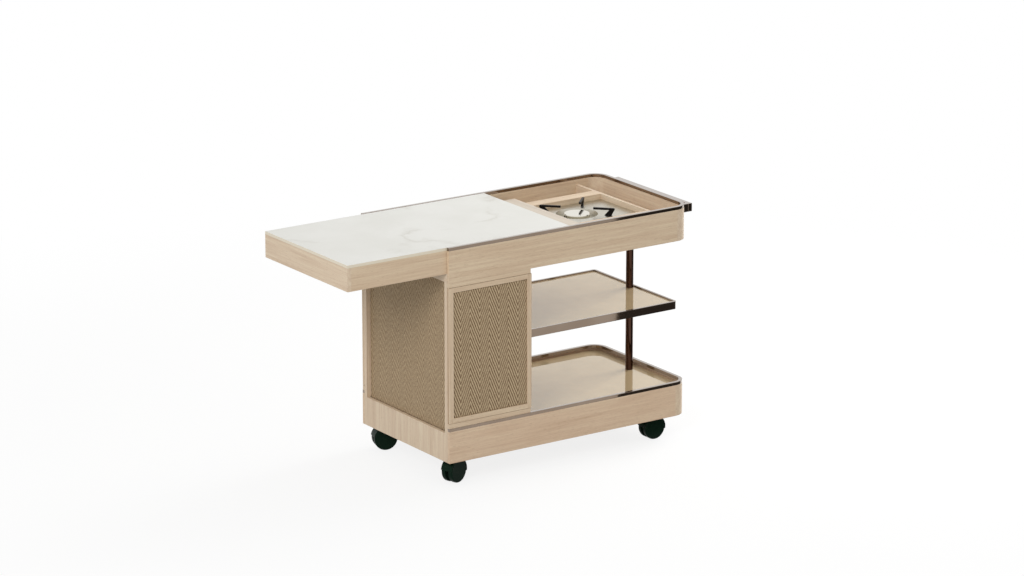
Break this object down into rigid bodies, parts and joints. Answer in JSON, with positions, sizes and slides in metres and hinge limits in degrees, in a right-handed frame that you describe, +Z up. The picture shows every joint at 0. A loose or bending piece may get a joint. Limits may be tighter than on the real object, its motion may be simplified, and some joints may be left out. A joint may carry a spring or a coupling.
{
  "type": "serving trolley",
  "caption": "Wheeled serving trolley with a gas hob under a sliding stone top, a woven-panel cabinet, a mirror shelf and swivel casters.",
  "frame": {"origin": "middle of the bounding box, on the floor, with the sliding top pulled out as in the picture", "axes": "+X along the trolley toward the handle, +Y from the front to the back, +Z up"},
  "size_m": [1.452, 0.55, 0.85],
  "materials": {
    "oak_long": "satin lacquered light oak, grain along the length",
    "oak_cross": "satin lacquered light oak, grain from front to back",
    "oak_upright": "satin lacquered light oak, upright grain",
    "oak_frame": "satin lacquered light oak, grain along each frame member",
    "bronze": "polished dark bronze",
    "bronze_bar": "polished dark bronze",
    "bronze_mirror": "bronze-tinted mirror glass",
    "weave": "herringbone weave of tan and dark brown cords",
    "weave_end": "herringbone weave of tan and dark brown cords",
    "stone": "honed white marble with faint grey veins",
    "steel_plate": "fine brushed stainless steel",
    "steel_cap": "polished steel",
    "burner_metal": "cast, matt",
    "arm_iron": "black enamel",
    "steel_fittings": "zinc-plated",
    "bolt_steel": "zinc-plated",
    "knob_plastic": "black, fine texture",
    "caster_gloss": "glossy green-black",
    "caster_tread": "glossy green-black tread"
  },
  "bodies": {
    "trolley": {"base_front": "oak_long", "base_back": "oak_long", "base_bottom": "oak_long", "base_floor": "oak_long", "tray_front": "oak_long", "tray_back": "oak_long", "tray_floor": "oak_long", "surround_back": "oak_long", "surround_front": "oak_long", "cabinet_bottom": "oak_long", "cabinet_top": "oak_long", "base_round_end": "oak_cross", "base_battens": "oak_cross", "tray_round_end": "oak_cross", "tray_end_rail": "oak_cross", "surround_left": "oak_cross", "partition": "oak_cross", "shelf_board": "oak_cross", "base_end": "oak_upright", "end_stiles": "oak_upright", "cabinet_side": "oak_upright", "base_rim": "bronze", "tray_rim": "bronze", "shelf_edge": "bronze", "handle_bar": "bronze_bar", "handle_legs": "bronze_bar", "post": "bronze_bar", "base_mirror": "bronze_mirror", "shelf_mirror": "bronze_mirror", "end_weave": "weave_end", "hob_plate": "steel_plate", "burner_cap": "steel_cap", "burner_base": "burner_metal", "gas_valve": "burner_metal", "pan_arms": "arm_iron", "igniter": "arm_iron", "guide_rails": "steel_fittings", "door_pivots": "steel_fittings", "handle_studs": "steel_fittings", "caster_plates": "steel_fittings", "caster_bolts": "bolt_steel"},
    "sliding_top": {"stone_top": "stone", "skirt_front": "oak_long", "skirt_back": "oak_long", "skirt_end": "oak_cross", "runners": "steel_fittings"},
    "front_door": {"door_front_frame": "oak_frame", "door_front_weave": "weave"},
    "back_door": {"door_back_frame": "oak_frame", "door_back_weave": "weave"},
    "hob_knob": {"knob": "knob_plastic"},
    "fork_fl": {"caster_fl_fork": "caster_gloss"},
    "wheels_fl": {"caster_fl_wheels": "caster_tread"},
    "fork_fr": {"caster_fr_fork": "caster_gloss"},
    "wheels_fr": {"caster_fr_wheels": "caster_tread"},
    "fork_bl": {"caster_bl_fork": "caster_gloss"},
    "wheels_bl": {"caster_bl_wheels": "caster_tread"},
    "fork_br": {"caster_br_fork": "caster_gloss"},
    "wheels_br": {"caster_br_wheels": "caster_tread"}
  },
  "joints": [
    {"name": "top_slide", "type": "slide", "parent": "trolley", "child": "sliding_top", "axis": [1, 0, 0], "range_m": [0, 0.395]},
    {"name": "front_door_hinge", "type": "hinge", "parent": "trolley", "child": "front_door", "pos_m": [-0.3245, -0.2695, 0.4685], "axis": [0, 0, 1], "range_deg": [-95, 0]},
    {"name": "back_door_hinge", "type": "hinge", "parent": "trolley", "child": "back_door", "pos_m": [-0.3245, 0.2695, 0.4685], "axis": [0, 0, 1], "range_deg": [0, 95]},
    {"name": "knob_turn", "type": "hinge", "parent": "trolley", "child": "hob_knob", "pos_m": [0.519, -0.223, 0.826], "axis": [0, 0, 1], "range_deg": [0, 210]},
    {"name": "swivel_fl", "type": "hinge", "parent": "trolley", "child": "fork_fl", "pos_m": [-0.249, -0.21, 0.085], "axis": [0, 0, 1], "continuous": true},
    {"name": "roll_fl", "type": "hinge", "parent": "fork_fl", "child": "wheels_fl", "pos_m": [-0.27737, -0.21977, 0.042], "axis": [-0.3256, 0.9455, 0], "continuous": true},
    {"name": "swivel_fr", "type": "hinge", "parent": "trolley", "child": "fork_fr", "pos_m": [0.597, -0.21, 0.085], "axis": [0, 0, 1], "continuous": true},
    {"name": "roll_fr", "type": "hinge", "parent": "fork_fr", "child": "wheels_fr", "pos_m": [0.567, -0.21, 0.042], "axis": [0, 1, 0], "continuous": true},
    {"name": "swivel_bl", "type": "hinge", "parent": "trolley", "child": "fork_bl", "pos_m": [-0.249, 0.21, 0.085], "axis": [0, 0, 1], "continuous": true},
    {"name": "roll_bl", "type": "hinge", "parent": "fork_bl", "child": "wheels_bl", "pos_m": [-0.27769, 0.21877, 0.042], "axis": [0.2924, 0.9563, 0], "continuous": true},
    {"name": "swivel_br", "type": "hinge", "parent": "trolley", "child": "fork_br", "pos_m": [0.597, 0.21, 0.085], "axis": [0, 0, 1], "continuous": true},
    {"name": "roll_br", "type": "hinge", "parent": "fork_br", "child": "wheels_br", "pos_m": [0.56729, 0.21418, 0.042], "axis": [0.1392, 0.9903, 0], "continuous": true}
  ]
}
